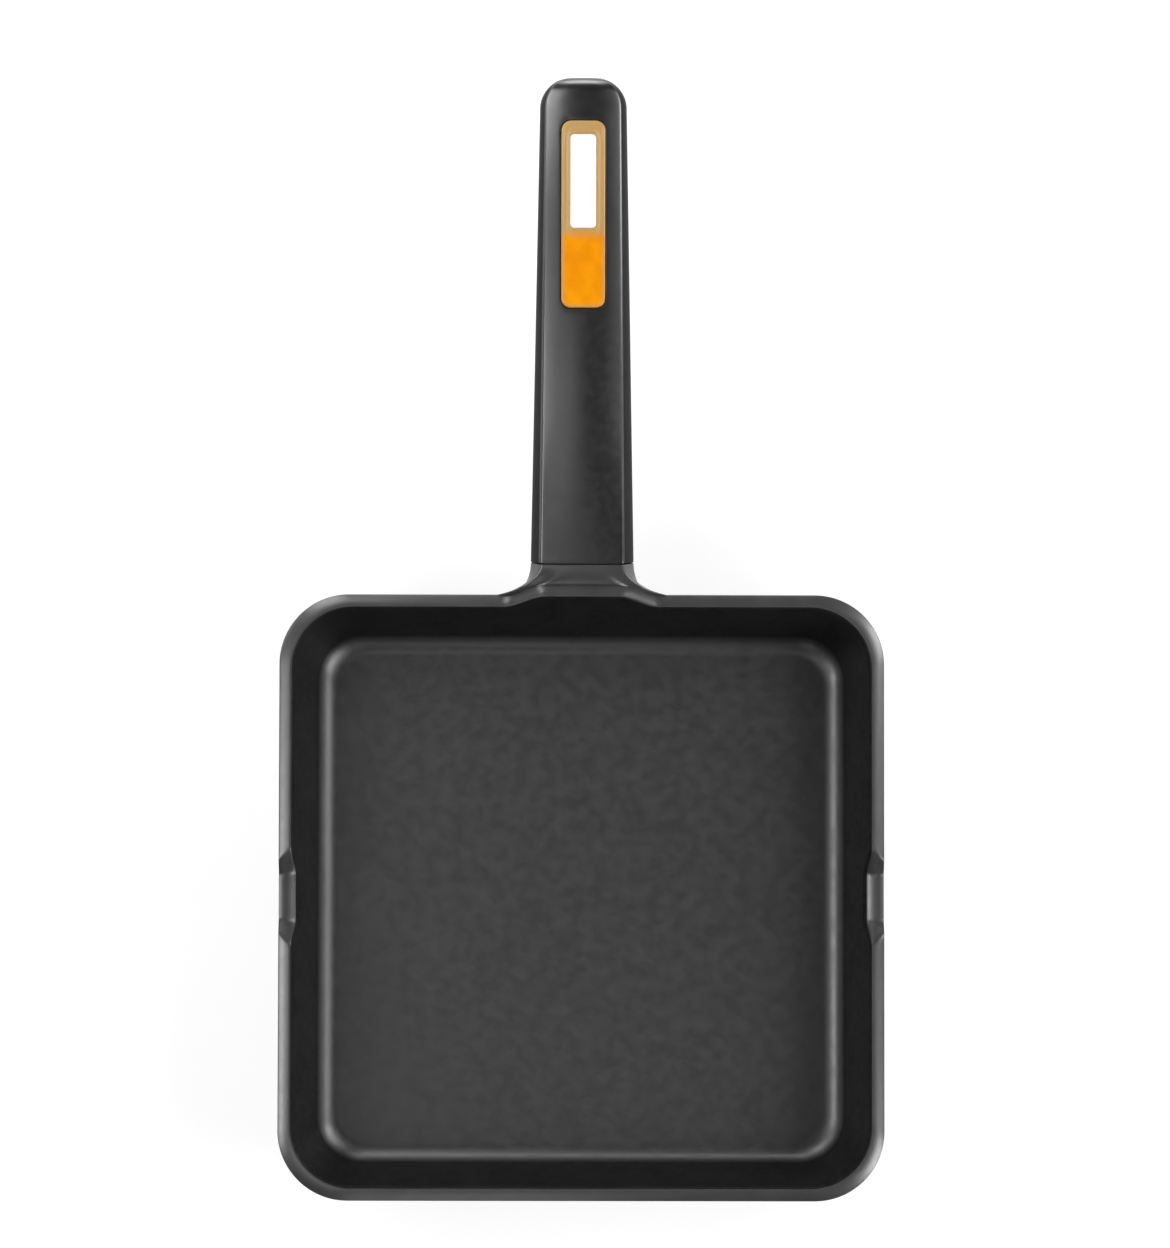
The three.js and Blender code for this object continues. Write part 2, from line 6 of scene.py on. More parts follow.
import bpy
import numpy as np
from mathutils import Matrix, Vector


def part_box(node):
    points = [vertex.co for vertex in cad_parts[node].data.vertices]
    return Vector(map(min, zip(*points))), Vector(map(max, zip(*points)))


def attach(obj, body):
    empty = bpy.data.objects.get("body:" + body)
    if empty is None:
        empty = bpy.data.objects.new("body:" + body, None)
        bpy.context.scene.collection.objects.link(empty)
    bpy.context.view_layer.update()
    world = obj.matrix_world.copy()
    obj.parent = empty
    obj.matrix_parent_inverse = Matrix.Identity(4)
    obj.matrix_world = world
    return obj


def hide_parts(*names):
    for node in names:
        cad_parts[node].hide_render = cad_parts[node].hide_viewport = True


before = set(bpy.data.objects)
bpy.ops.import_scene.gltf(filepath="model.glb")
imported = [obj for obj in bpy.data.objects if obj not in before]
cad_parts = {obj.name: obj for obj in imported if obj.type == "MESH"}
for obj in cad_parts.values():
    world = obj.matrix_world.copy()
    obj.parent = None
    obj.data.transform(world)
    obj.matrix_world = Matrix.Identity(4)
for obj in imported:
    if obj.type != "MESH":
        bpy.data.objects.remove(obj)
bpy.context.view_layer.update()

# Pan body
# One aluminium casting under a satin dark non-stick coating: a square dish with leaning walls, a flat rim
# that dips into a pour lip on each side and climbs to a crest at the handle, and the neck that carries it.
MM = 0.001
rim_half = -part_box("pan_body")[0].y
rim_height = 38 * MM
rim_corner_radius = 26.5 * MM
rim_land = 5.4 * MM
rim_inner_round = 1.6 * MM
rim_outer_round = 0.6 * MM
rim_outer_tilt = np.radians(28)
rim_inner_tilt = np.radians(10)
bead_foot = rim_height - 8 * MM
bead_top = rim_height - 3 * MM
wall_thickness = 4 * MM
wall_draft = np.radians(18)
floor_height = 5.5 * MM
floor_fillet = 8 * MM
floor_corner_radius = 12.8 * MM
base_round = 9 * MM
lip_dip = 3.6 * MM
lip_flat_length = 16 * MM
lip_outer_length = 29 * MM
lip_inner_length = 40 * MM
lip_roll = 0.9
rim_fade = 16 * MM
neck_spread = 64.5 * MM
neck_foot_height = 13 * MM
crest_rise = 7 * MM
crest_lean = 0.5
crest_flat_width = 28 * MM
crest_width = 60 * MM
plate_low, plate_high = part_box("base_plate")
fit = 0.3 * MM
plate_corner_radius = 16 * MM
corner_steps = 28
lip_steps = 60
across_steps = 40
base_round_steps = 11
wall_steps = 12
bead_steps = 7
edge_steps = 6
upright_steps = wall_steps + bead_steps + edge_steps
land_steps = 5
inner_round_steps = 9
inner_wall_steps = 15
wall_rows_in_round = 2
fillet_steps = 15
floor_shares = np.linspace(0.9, 0.5, 5)
plate_rows = 2
lacquered_rows = 8
crease_angle = np.radians(38)
inside, outside, bare = range(3)


def mix(low, high, share):
    """The value that lies the given share of the way from low to high."""
    return low + (high - low) * share


def smooth(value, low, high):
    """0 below low, 1 above high, and between them the S-curve 3t^2 - 2t^3 of the share t."""
    share = np.clip((value - low) / (high - low), 0, 1)
    return share * share * (3 - 2 * share)


def quarter_turn(steps):
    """Angles from 0 to a right angle in equal steps."""
    return np.linspace(0, np.pi / 2, steps + 1)


class Skin:
    """A surface put together from closed rows of points, each row joined to the next by a band of quads."""

    def __init__(self):
        self.points = np.empty((0, 3))
        self.faces = []
        self.finishes = []

    def rows(self, grid):
        """Adds a grid of points, one row for each first index, and gives their numbers in its layout."""
        numbers = len(self.points) + np.arange(grid[..., 0].size).reshape(grid.shape[:2])
        self.points = np.concatenate([self.points, grid.reshape(-1, 3)])
        return numbers

    def band(self, rows, keep=True, finish=0):
        """Quads from each row to the next, running round to the row's start. The mask keep picks single
        quads, and finish is the number of their material."""
        after = np.roll(rows, -1, axis=1)
        quads = np.stack([rows[:-1], after[:-1], after[1:], rows[1:]], axis=2)
        kept = np.broadcast_to(keep, quads.shape[:2])
        self.faces.append(quads[kept])
        self.finishes.append(np.broadcast_to(finish, kept.shape)[kept])

    def close(self, row, backwards=False, finish=0):
        """A fan of triangles from a row to the mean of its points."""
        middle = self.rows(self.points[row].mean(axis=0)[None, None])
        after = np.roll(row, -1)
        ends = (after, row) if backwards else (row, after)
        self.faces.append(np.stack([*ends, np.broadcast_to(middle[0], row.shape)], axis=1))
        self.finishes.append(np.full(len(row), finish))

    def weld(self):
        """Merges points that lie within a hundredth of a micrometre of each other."""
        places = np.round(self.points, 8)
        _, first, number = np.unique(places, axis=0, return_index=True, return_inverse=True)
        self.points = self.points[first]
        self.faces = [number.ravel()[block] for block in self.faces]

    def piece(self, name, crease=crease_angle, **values):
        """The surface as an object, smooth apart from edges that turn by more than the crease angle. Points
        that no face uses are left out, and each keyword becomes an attribute of the points."""
        used = np.unique(np.concatenate([block.ravel() for block in self.faces]))
        faces = []
        for block in self.faces:
            faces += np.searchsorted(used, block).tolist()
        mesh = bpy.data.meshes.new(name)
        mesh.from_pydata(self.points[used], [], faces)
        mesh.polygons.foreach_set("use_smooth", np.ones(len(faces), bool))
        mesh.polygons.foreach_set("material_index", np.concatenate(self.finishes).astype(np.int32))
        mesh.set_sharp_from_angle(angle=crease)
        for attribute, value in values.items():
            layer = mesh.attributes.new(attribute, "FLOAT", "POINT")
            layer.data.foreach_set("value", value.ravel()[used].astype(np.float32))
        thing = bpy.data.objects.new(name, mesh)
        bpy.context.scene.collection.objects.link(thing)
        return thing


def inner_wall(z):
    """Half-width of the inside at a height: the wall leans out by its draft."""
    return rim_half - rim_land - (rim_height - z) * np.tan(wall_draft)


def outer_wall(z):
    """Half-width of the outside at a height: the inside plus the wall's level thickness."""
    return inner_wall(z) + wall_thickness


fillet_z = floor_height + floor_fillet
floor_half = inner_wall(fillet_z) - floor_fillet / np.cos(wall_draft)


def body_section():
    """Rows of the casting's section as half-width, height and inward, from the plate's pocket up the
    outside, over the rim and down to the floor.

    Rounds are arcs, walls are straight, the bead under the rim is an S-curve, and the rim's land is a wide
    arc between its edge rounds. Inward runs from 0 on the outer face to 1 on the inner face. Also gives the
    neck's first and last row."""
    lean = np.pi / 2 - wall_draft
    pocket = plate_high.x + fit
    stretches = [[(pocket, pocket), (plate_high.z, 0)]]

    turn = np.linspace(0, lean, base_round_steps + 1)
    centre = outer_wall(base_round) - base_round / np.cos(wall_draft)
    stretches.append([centre + base_round * np.sin(turn), base_round * (1 - np.cos(turn))])

    z = np.linspace(neck_foot_height, bead_foot, wall_steps + 1)[:-1]
    stretches.append([outer_wall(z), z])
    z = np.linspace(bead_foot, bead_top, bead_steps + 1)[:-1]
    stretches.append([mix(outer_wall(z), rim_half, smooth(z, bead_foot, bead_top)), z])

    inner_z = rim_height - rim_inner_round
    inner_centre = inner_wall(inner_z) + rim_inner_round / np.cos(wall_draft)
    outer_centre = rim_half - rim_outer_round
    tilts = np.array([rim_outer_tilt, rim_inner_tilt])
    rounds = np.array([rim_outer_round, rim_inner_round])
    tangents = (outer_centre, inner_centre) + rounds * np.sin(tilts)
    crown_radius = np.subtract(*tangents) / np.subtract(*np.sin(tilts))
    crown_half = inner_centre - (crown_radius - rim_inner_round) * np.sin(rim_inner_tilt)
    crown_z = inner_z - (crown_radius - rim_inner_round) * np.cos(rim_inner_tilt)
    outer_z = crown_z + (crown_radius - rim_outer_round) * np.cos(rim_outer_tilt)
    turn = np.linspace(0, np.pi / 2 - rim_outer_tilt, edge_steps + 1)
    half = outer_centre + rim_outer_round * np.cos(turn)
    stretches.append([half, outer_z + rim_outer_round * np.sin(turn)])
    tilt = np.linspace(*tilts, land_steps + 1)[1:-1]
    stretches.append([crown_half + crown_radius * np.sin(tilt), crown_z + crown_radius * np.cos(tilt)])
    turn = np.linspace(-rim_inner_tilt, lean, inner_round_steps + 1)
    half = inner_centre - rim_inner_round * np.sin(turn)
    stretches.append([half, inner_z + rim_inner_round * np.cos(turn)])

    z = np.linspace(rim_height, rim_height - rim_fade, inner_wall_steps + 1)[wall_rows_in_round:]
    stretches.append([inner_wall(z), z])
    turn = np.linspace(lean, 0, fillet_steps + 1)
    stretches.append([floor_half + floor_fillet * np.sin(turn), fillet_z - floor_fillet * np.cos(turn)])
    stretches.append([floor_half * floor_shares, floor_height + 0 * floor_shares])

    foot = len(stretches[0][0]) + len(stretches[1][0])
    section = np.concatenate([np.transpose(stretch) for stretch in stretches])
    on_inner_face = np.arange(len(section)) > foot + upright_steps
    share = np.clip((rim_half - section[:, 0]) / rim_land, 0, 1)
    on_rim = section[:, 1] > outer_z
    inward = np.where(on_rim, share, on_inner_face)
    return section[:, 0], section[:, 1], inward, foot, foot + upright_steps


def body_rings():
    """The casting's rows of points, one ring for each row of its section, anticlockwise from above.

    A ring is a square with round corners, tight at the floor and wide at the rim. On the left and right
    it dips into the pour lip, and on the handle side it climbs to the crest, both by S-curves along the
    side that fade out down the wall."""
    half, z, inward, foot, crest = body_section()
    half, z, inward = half[:, None], z[:, None], inward[:, None]
    taper = np.clip((half - floor_half) / (rim_half - floor_half), 0, 1)
    radius = mix(floor_corner_radius, rim_corner_radius, taper)
    radius[:plate_rows] = plate_corner_radius + fit
    share = smooth(z, rim_height - rim_fade, rim_height)

    def lip(side):
        y = side * lip_inner_length * np.linspace(-0.5, 0.5, lip_steps + 1)
        end = mix(lip_outer_length, lip_inner_length, inward) / 2
        dip = lip_dip * share * (1 - smooth(np.abs(y), lip_flat_length / 2, end))
        drop = dip * (1 + lip_roll * inward**2)
        shift = -np.tan(wall_draft) * drop * inward
        return np.stack([side * (half + shift), y + 0 * dip, z - drop], axis=2)

    def corner(side_x, side_y, start):
        turn = start + quarter_turn(corner_steps)
        x = side_x * (half - radius) + radius * np.cos(turn)
        y = side_y * (half - radius) + radius * np.sin(turn)
        return np.stack([x, y, z + 0 * x], axis=2)

    x = neck_spread * np.linspace(0.5, -0.5, across_steps + 1)
    rise = crest_rise * share * (1 - smooth(np.abs(x), crest_flat_width / 2, crest_width / 2))
    crest_side = np.stack([x + 0 * rise, half + crest_lean * rise, z + rise], axis=2)
    quarter = np.pi / 2
    sides = [lip(1), corner(1, 1, 0), crest_side, corner(-1, 1, quarter)]
    sides += [lip(-1), corner(-1, -1, 2 * quarter), corner(1, -1, 3 * quarter)]
    return np.concatenate(sides, axis=1), foot, crest


# The neck ends in the section of the handle, which runs straight out of it at a slope and then levels off.
root_y = 127.5 * MM
root_z = 36.7 * MM
handle_length = 183.5 * MM
handle_straight = 70 * MM
handle_slope = np.radians(10)
end_slope = np.radians(3)
root_width = 39.1 * MM
end_width = 32.4 * MM
root_thickness = 21 * MM
end_thickness = 15.5 * MM
root_side_band = 4 * MM
end_side_band = 2.3 * MM
root_crown = 0.5 * MM
crown = 2.2 * MM
crown_run = 60 * MM
side_depth_share = 0.28
side_edge_steepness = 1.2
underside_squareness = 2.5
underside_flat_share = 0.7
tip_plan_radius = 11.4 * MM
tip_round = 5 * MM
edge_round_share = 0.025
band_round_share = 0.07
seam_round = 0.4 * MM
seam_steps = 5
neck_rings = 26
lower_steps = 10
round_steps = 6
band_steps = upright_steps - lower_steps - round_steps


def spine(s):
    """Height line of the handle at a distance from the seam: a straight run, then an arc. Gives y, z and
    slope."""
    straight = np.minimum(s, handle_straight)
    turn_rate = (handle_slope - end_slope) / (handle_length - handle_straight)
    slope = handle_slope - turn_rate * (s - straight)
    y = root_y + straight * np.cos(handle_slope) + (np.sin(handle_slope) - np.sin(slope)) / turn_rate
    z = root_z + straight * np.sin(handle_slope) + (np.cos(slope) - np.cos(handle_slope)) / turn_rate
    return y, z, slope


def drawn_in(s, radius):
    """How far a quarter-round end of that radius has drawn in: radius - sqrt(radius^2 - into^2)."""
    into = np.clip(s - (handle_length - radius), 0, radius)
    return radius - np.sqrt(radius**2 - into**2)


def handle_sizes(s, inset=0):
    """Half-width, half-width of the top face, its crown, thickness, and the heights of its edge and of the
    widest line. Widths and thickness go evenly from root to end, less the round tip."""
    along = s / handle_length
    full = mix(root_width, end_width, along) / 2
    half = full - drawn_in(s, tip_plan_radius) - inset
    edge = half - mix(root_side_band, end_side_band, along) * half / full
    thick = mix(root_thickness, end_thickness, along) - 2 * drawn_in(s, tip_round) - 2 * inset
    arch = mix(root_crown, crown, smooth(s, 0, crown_run)) * half / full
    edge_up = thick / 2 - arch
    return half, edge, arch, thick, edge_up, edge_up - side_depth_share * thick


def underside(x, half, thick, widest_up):
    """Height of the handle's underside at x: a superellipse between its widest line and its lowest."""
    share = np.clip(1 - (np.abs(x) / half) ** underside_squareness, 0, 1)
    return widest_up - (widest_up + thick / 2) * share ** (1 / underside_squareness)


def bezier(start, bend, end, share):
    """Points of a quadratic Bezier curve; start, bend and end are pairs, and share runs from 0 to 1."""
    pairs = zip(start, bend, end)
    return [a * (1 - share) ** 2 + 2 * b * share * (1 - share) + c * share**2 for a, b, c in pairs]


def handle_section(s, inset=0):
    """Rows of points round the handle at distances s, anticlockwise seen from its end.

    Underside from right to left, left side up, top from left to right, right side down. The side is the
    superellipse up to the widest line, a Bezier band up to the top face, and a small Bezier round between
    the two. The top is a parabola."""
    s = np.asarray(s, float)[:, None]
    inset = np.asarray(inset, float).reshape(-1, 1)
    half, edge, arch, thick, edge_up, widest_up = handle_sizes(s, inset)
    flat = underside_flat_share * half
    low_x = flat * np.linspace(1, -1, across_steps + 1)[:-1]
    low_up = underside(low_x, half, thick, widest_up)

    side_x = mix(flat, half, np.sin(quarter_turn(lower_steps)[:-1]))
    side_up = underside(side_x, half, thick, widest_up)
    top_edge = (edge, edge_up)
    band = ((half, widest_up), (half, edge_up - side_edge_steepness * (half - edge)), top_edge)
    reach = 1 - band_round_share
    band_x, band_up = bezier(*band, reach * np.linspace(0, 1, band_steps + 1)[:-1])
    top_share = 1 - edge_round_share
    top_start = (top_share * edge, edge_up + arch * (1 - top_share**2))
    round_over = (bezier(*band, reach), top_edge, top_start)
    round_x, round_up = bezier(*round_over, np.linspace(0, 1, round_steps + 1))
    side_x = np.concatenate([side_x, band_x, round_x], axis=1)
    side_up = np.concatenate([side_up, band_up, round_up], axis=1)

    share = top_share * np.linspace(-1, 1, across_steps + 1)[:-1]
    crown_up = edge_up + arch * (1 - share**2)
    x = np.concatenate([low_x, -side_x[:, :-1], edge * share, side_x[:, :0:-1]], axis=1)
    up = np.concatenate([low_up, side_up[:, :-1], crown_up, side_up[:, :0:-1]], axis=1)
    y, z, slope = spine(s)
    return np.stack([x, y - up * np.sin(slope), z + up * np.cos(slope)], axis=2)


# The tenon on the neck goes into the handle, and holds the threaded bush for the handle's screw.
tenon_half_width = 11 * MM
tenon_half_height = 5.5 * MM
tenon_corner_radius = 2.5 * MM
tenon_length = 24 * MM
tenon_chamfer = 0.8 * MM
bush_hole_radius = 4.9 * MM
bush_seat = 7.7 * MM


def round_side(reach, other, radius, steps):
    """One side of a rounded oblong, from the middle of one corner's arc to the middle of the next, in
    steps of equal length. Gives places along the side and out from the centre."""
    straight = reach - radius
    path = np.linspace(1, -1, steps + 1)[:-1] * (straight + radius * np.pi / 4)
    bent = np.maximum(np.abs(path) - straight, 0) / radius
    along = np.sign(path) * (np.minimum(np.abs(path), straight) + radius * np.sin(bent))
    return along, other - radius + radius * np.cos(bent)


def round_oblong(half_x, half_y, radius, across, upright):
    """A rounded oblong's outline as x and y: low side from right to left, left side up, and on round to the
    start, with as many steps on the level and upright sides as given."""
    low, low_out = round_side(half_x, half_y, radius, across)
    side, side_out = round_side(half_y, half_x, radius, upright)
    x = np.concatenate([low, -side_out, -low, side_out])
    y = np.concatenate([-low_out, -side, low_out, side])
    return x, y


def on_screw_line(outline, s):
    """Points of an outline across the handle's straight run, at a distance from the seam."""
    x, up = outline
    y, z, slope = spine(np.asarray(s, float))
    return np.stack([x, y - up * np.sin(slope), z + up * np.cos(slope)], axis=1)


def add_neck(skin, rings, foot, crest, first, last):
    """Joins the opening in the handle side's wall to the handle's section.

    Each line is a quarter ellipse that leaves the opening's edge along the wall and arrives along the
    handle: bend + (start - bend)(1 - sin t) + (end - bend)(1 - cos t). The seam's edge is rounded over, and
    rings go on as the end face, the tenon, its chamfer and the bush's hole."""
    low = rings[foot, first:last]
    left = rings[foot:crest, last]
    top = rings[crest, last:first:-1]
    right = rings[crest:foot:-1, first]
    edge = np.concatenate([low, left, top, right])

    start = skin.points[edge]
    end = handle_section([-seam_round])[0]
    axis = np.array([0, np.cos(handle_slope), np.sin(handle_slope)])
    wall_normal = np.array([0, np.cos(wall_draft), -np.sin(wall_draft)])
    reach = (end - start) @ wall_normal / (axis @ wall_normal)
    bend = end - reach[:, None] * axis
    turn = quarter_turn(neck_rings)[1:, None, None]
    lines = bend + (start - bend) * (1 - np.sin(turn)) + (end - bend) * (1 - np.cos(turn))

    turn = quarter_turn(seam_steps)[1:]
    seam = handle_section(seam_round * (np.sin(turn) - 1), seam_round * (1 - np.cos(turn)))
    steps = (across_steps, upright_steps)
    tenon = round_oblong(tenon_half_width, tenon_half_height, tenon_corner_radius, *steps)
    slim = (tenon_half_width - tenon_chamfer, tenon_half_height - tenon_chamfer)
    tenon_end = round_oblong(*slim, tenon_corner_radius - tenon_chamfer, *steps)
    hole = round_oblong(bush_hole_radius, bush_hole_radius, bush_hole_radius, *steps)
    stub = [on_screw_line(tenon, 0), on_screw_line(tenon, tenon_length - tenon_chamfer)]
    stub += [on_screw_line(tenon_end, tenon_length)]
    stub += [on_screw_line(hole, tenon_length), on_screw_line(hole, bush_seat)]
    numbers = skin.rows(np.concatenate([lines, seam, stub]))
    skin.band(np.concatenate([edge[None], numbers]), finish=outside)
    skin.close(numbers[-1], finish=bare)


def pan_body():
    """The casting: rings joined from the plate's pocket to the floor, with the neck's opening left out.

    The attribute climb is how steeply a ring rises or falls along itself: height over level length."""
    skin = Skin()
    grid, foot, crest = body_rings()
    rings = skin.rows(grid)
    first = (lip_steps + 1) + (corner_steps + 1)
    last = first + across_steps
    row = np.arange(len(rings) - 1)[:, None]
    column = np.arange(rings.shape[1])
    opening = (row >= foot) & (row < crest) & (column >= first) & (column < last)
    finishes = np.where(row < crest + lacquered_rows, outside, inside)
    finishes[:plate_rows] = bare
    skin.band(rings, ~opening, finishes)
    skin.close(rings[0], backwards=True, finish=bare)
    skin.close(rings[-1], finish=inside)
    add_neck(skin, rings, foot, crest, first, last)
    along = np.roll(grid, -1, axis=1) - np.roll(grid, 1, axis=1)
    climb = np.zeros(len(skin.points))
    climb[rings] = np.abs(along[..., 2]) / np.hypot(along[..., 0], along[..., 1])
    return skin.piece("pan_body_cast", climb=climb)


# Three finishes: coating inside, lacquer outside and bare metal under the plate. Sheen is the shader's
# specular level, and roughness is the pair of values that a finish varies between.
coating_dark = (0.007, 0.007, 0.007)
coating_pale = (0.013, 0.013, 0.013)
coating_fleck = (0.014, 0.014, 0.0145)
coating_roughness = (0.39, 0.46)
floor_sheen = 1.0
wall_sheen = 0.05
wall_sheen_start = floor_height + 2.5 * MM
wall_sheen_end = floor_height + 6 * MM
lacquer_dark = (0.045, 0.045, 0.0455)
lacquer_pale = (0.054, 0.054, 0.0545)
lacquer_roughness = (0.28, 0.33)
level_sheen = 1.0
climbing_sheen = 0.2
gentle_climb = 0.03
steep_climb = 0.5
casting_dark = (0.50, 0.50, 0.51)
casting_pale = (0.66, 0.66, 0.67)
casting_roughness = (0.4, 0.55)


def finish(name, **sockets):
    """A new material; each keyword sets a socket of its Principled shader, with _ for a space."""
    material = bpy.data.materials.new(name)
    material.use_nodes = True
    shader = material.node_tree.nodes["Principled BSDF"]
    for socket, value in sockets.items():
        shader.inputs[socket.replace("_", " ")].default_value = value
    return material, material.node_tree, shader


def own_place(tree):
    """The piece's own coordinates."""
    return tree.nodes.new("ShaderNodeTexCoord").outputs["Object"]


def point_value(tree, name):
    """The attribute of that name, which the mesh keeps for each point."""
    node = tree.nodes.new("ShaderNodeAttribute")
    node.attribute_name = name
    return node.outputs["Fac"]


def grain(tree, size, detail=2.0, stretch=(1, 1, 1)):
    """Noise in the piece's own coordinates, with blots of about that size, drawn out by stretch."""
    mapping = tree.nodes.new("ShaderNodeMapping")
    mapping.inputs["Scale"].default_value = [1 / (size * along) for along in stretch]
    noise = tree.nodes.new("ShaderNodeTexNoise")
    noise.inputs["Scale"].default_value = 1
    noise.inputs["Detail"].default_value = detail
    tree.links.new(own_place(tree), mapping.inputs["Vector"])
    tree.links.new(mapping.outputs["Vector"], noise.inputs["Vector"])
    return noise.outputs["Fac"]


def spread(tree, source, first=0, last=1, start=0.3, end=0.7):
    """A value that goes from first to last by an S-curve as the source goes from start to end."""
    node = tree.nodes.new("ShaderNodeMapRange")
    node.interpolation_type = "SMOOTHSTEP"
    tree.links.new(source, node.inputs["Value"])
    limits = {"From Min": start, "From Max": end, "To Min": first, "To Max": last}
    for socket, value in limits.items():
        node.inputs[socket].default_value = value
    return node.outputs["Result"]


def blend_colours(tree, share, first, second):
    """A colour between two others; each is a colour or a socket that gives one."""
    node = tree.nodes.new("ShaderNodeMix")
    node.data_type = "RGBA"
    tree.links.new(share, node.inputs["Factor"])
    first_socket, second_socket, result = node.inputs[6], node.inputs[7], node.outputs[2]
    for socket, colour in ((first_socket, first), (second_socket, second)):
        if isinstance(colour, bpy.types.NodeSocket):
            tree.links.new(colour, socket)
        else:
            socket.default_value = (*colour, 1)
    return result


def relief(tree, shader, *layers):
    """Fine relief from pairs of a height source and its depth in metres, one bump over the next."""
    normal = None
    for source, depth in layers:
        bump = tree.nodes.new("ShaderNodeBump")
        bump.inputs["Strength"].default_value = 1
        bump.inputs["Distance"].default_value = depth
        tree.links.new(source, bump.inputs["Height"])
        if normal:
            tree.links.new(normal, bump.inputs["Normal"])
        normal = bump.outputs["Normal"]
    tree.links.new(normal, shader.inputs["Normal"])


def coated_aluminium():
    """Sprayed non-stick coating: near-black grey with cloudy tone, fine mottle and a faint orange peel. Its
    sheen goes where the floor turns up into the wall."""
    material, tree, shader = finish("coated_aluminium", IOR=1.63)
    parts = tree.nodes.new("ShaderNodeSeparateXYZ")
    tree.links.new(own_place(tree), parts.inputs["Vector"])
    sheen = spread(tree, parts.outputs["Z"], floor_sheen, wall_sheen, wall_sheen_start, wall_sheen_end)
    tree.links.new(sheen, shader.inputs["Specular IOR Level"])
    cloud = spread(tree, grain(tree, size=14 * MM, detail=4))
    fleck = spread(tree, grain(tree, size=2.2 * MM, detail=4))
    ground = blend_colours(tree, cloud, coating_dark, coating_pale)
    tree.links.new(blend_colours(tree, fleck, ground, coating_fleck), shader.inputs["Base Color"])
    roughness = spread(tree, grain(tree, size=5 * MM, detail=4), *coating_roughness)
    tree.links.new(roughness, shader.inputs["Roughness"])
    peel = grain(tree, size=3 * MM, detail=3)
    tooth = grain(tree, size=0.6 * MM, detail=1)
    relief(tree, shader, (peel, 0.02 * MM), (tooth, 0.008 * MM))
    return material


def outside_lacquer():
    """Baked lacquer on the outside, the rim and the neck: dark grey, a little paler than the inside, with
    less sheen where the rim climbs or dips."""
    material, tree, shader = finish("outside_lacquer", IOR=1.52)
    climb = point_value(tree, "climb")
    sheen = spread(tree, climb, level_sheen, climbing_sheen, gentle_climb, steep_climb)
    tree.links.new(sheen, shader.inputs["Specular IOR Level"])
    cloud = spread(tree, grain(tree, size=9 * MM, detail=4))
    tree.links.new(blend_colours(tree, cloud, lacquer_dark, lacquer_pale), shader.inputs["Base Color"])
    roughness = spread(tree, grain(tree, size=2 * MM, detail=3), *lacquer_roughness)
    tree.links.new(roughness, shader.inputs["Roughness"])
    relief(tree, shader, (grain(tree, size=0.6 * MM, detail=2), 0.01 * MM))
    return material


def bare_aluminium():
    """Cast aluminium left uncoated under the plate: pale, slightly cloudy metal."""
    material, tree, shader = finish("bare_aluminium", Metallic=1)
    cloud = spread(tree, grain(tree, size=2.5 * MM, detail=3))
    tree.links.new(blend_colours(tree, cloud, casting_dark, casting_pale), shader.inputs["Base Color"])
    roughness = spread(tree, grain(tree, size=0.8 * MM), *casting_roughness)
    tree.links.new(roughness, shader.inputs["Roughness"])
    return material


body = pan_body()
body.data.materials.append(coated_aluminium())
body.data.materials.append(outside_lacquer())
body.data.materials.append(bare_aluminium())
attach(body, "root")
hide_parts("pan_body")

# Base plate
# A square plate of magnetic stainless steel, punched with rows of round holes and pressed into the base of
# the casting so that the pan heats on induction hobs. Its face is turned flat together with the base.
plate_half = plate_high.x
hole_radius = 2.5 * MM
hole_pitch = 17 * MM
holes_per_side = 9
hole_steps = 8
plate_chamfer = 0.15 * MM
plate_crease = np.radians(30)
sharp_corner = 1e-6 * MM
steel_dark = (0.42, 0.42, 0.43)
steel_pale = (0.58, 0.58, 0.59)
steel_roughness = (0.28, 0.42)


def at_levels(outlines, levels):
    """Rows of points from plan outlines, each at its own height."""
    outlines = np.array(outlines)
    heights = np.broadcast_to(np.array(levels)[:, None, None], (len(levels), 1, outlines.shape[2]))
    return np.concatenate([outlines, heights], axis=1).transpose(0, 2, 1)


def square_outline(half, radius, steps):
    """A square with round corners, as an outline with that many steps on each side."""
    return round_oblong(half, half, radius, steps, steps)


